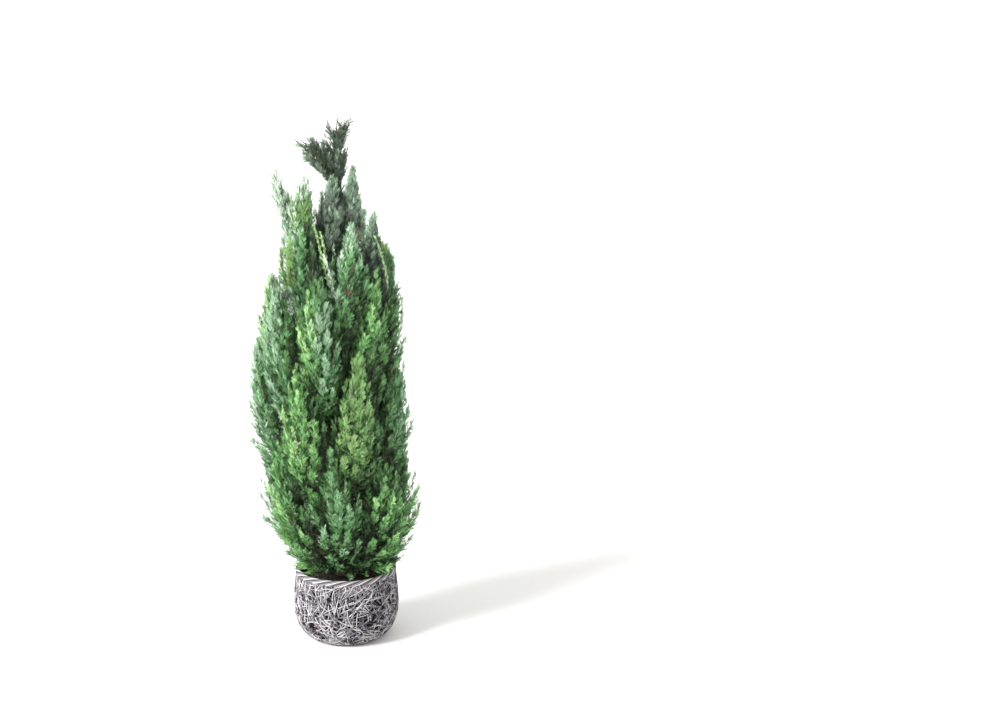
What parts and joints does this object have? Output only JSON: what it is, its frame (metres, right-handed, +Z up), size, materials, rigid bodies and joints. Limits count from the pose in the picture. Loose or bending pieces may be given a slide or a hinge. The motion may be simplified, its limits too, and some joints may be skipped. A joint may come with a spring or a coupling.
{
  "type": "potted lawson cypress",
  "caption": "Upright narrow cypress shrub with feathery sprays in dense plumes, growing in a round woven pot.",
  "frame": {"origin": "middle of the pot's flat underside", "axes": "+Z up the trunk, -Y towards the side the picture shows, +X to the right of that view"},
  "size_m": [0.2731, 0.2734, 0.88],
  "materials": {
    "woven_strand": "matt pale grey woven strands over a dark lining",
    "moist_soil": "crumbly, matt, nearly black brown",
    "trunk_bark": "matt, lengthwise fissures",
    "bough_bark": "matt, smooth red brown",
    "foliage_fresh": "matt scale leaves, fresh green",
    "foliage_mid": "matt scale leaves, green to grey green",
    "foliage_glaucous": "matt scale leaves, blue grey green"
  },
  "bodies": {
    "root": {"bough_back_left": "bough_bark", "bough_back_right": "bough_bark", "bough_flank_high": "bough_bark", "bough_flank_side": "bough_bark", "bough_front_high": "bough_bark", "bough_lower_1": "bough_bark", "bough_lower_2": "bough_bark", "bough_lower_3": "bough_bark", "bough_lower_4": "bough_bark", "bough_lower_5": "bough_bark", "bough_lower_6": "bough_bark", "bough_lower_7": "bough_bark", "bough_middle_1": "bough_bark", "bough_middle_2": "bough_bark", "bough_middle_3": "bough_bark", "bough_middle_4": "bough_bark", "bough_middle_5": "bough_bark", "bough_middle_6": "bough_bark", "bough_middle_7": "bough_bark", "bough_shoulder_inner": "bough_bark", "bough_shoulder_outer": "bough_bark", "foliage_back_left": "foliage_glaucous", "foliage_back_right": "foliage_glaucous", "foliage_base_1": "foliage_fresh", "foliage_base_2": "foliage_fresh", "foliage_base_3": "foliage_fresh", "foliage_base_4": "foliage_fresh", "foliage_base_5": "foliage_fresh", "foliage_base_6": "foliage_fresh", "foliage_base_7": "foliage_fresh", "foliage_flank_high": "foliage_glaucous", "foliage_flank_side": "foliage_glaucous", "foliage_front_high": "foliage_glaucous", "foliage_head": "foliage_glaucous", "foliage_lower_1": "foliage_fresh", "foliage_lower_2": "foliage_fresh", "foliage_lower_3": "foliage_fresh", "foliage_lower_4": "foliage_fresh", "foliage_lower_5": "foliage_fresh", "foliage_lower_6": "foliage_fresh", "foliage_lower_7": "foliage_fresh", "foliage_middle_1": "foliage_mid", "foliage_middle_2": "foliage_mid", "foliage_middle_3": "foliage_mid", "foliage_middle_4": "foliage_mid", "foliage_middle_5": "foliage_mid", "foliage_middle_6": "foliage_mid", "foliage_middle_7": "foliage_mid", "foliage_neck_back": "foliage_glaucous", "foliage_neck_front": "foliage_glaucous", "foliage_neck_right": "foliage_glaucous", "foliage_shoulder_inner": "foliage_glaucous", "foliage_shoulder_outer": "foliage_glaucous", "foliage_side_shoot": "foliage_glaucous", "potting_soil": "moist_soil", "trunk": "trunk_bark", "wicker_pot": "woven_strand"}
  },
  "joints": []
}
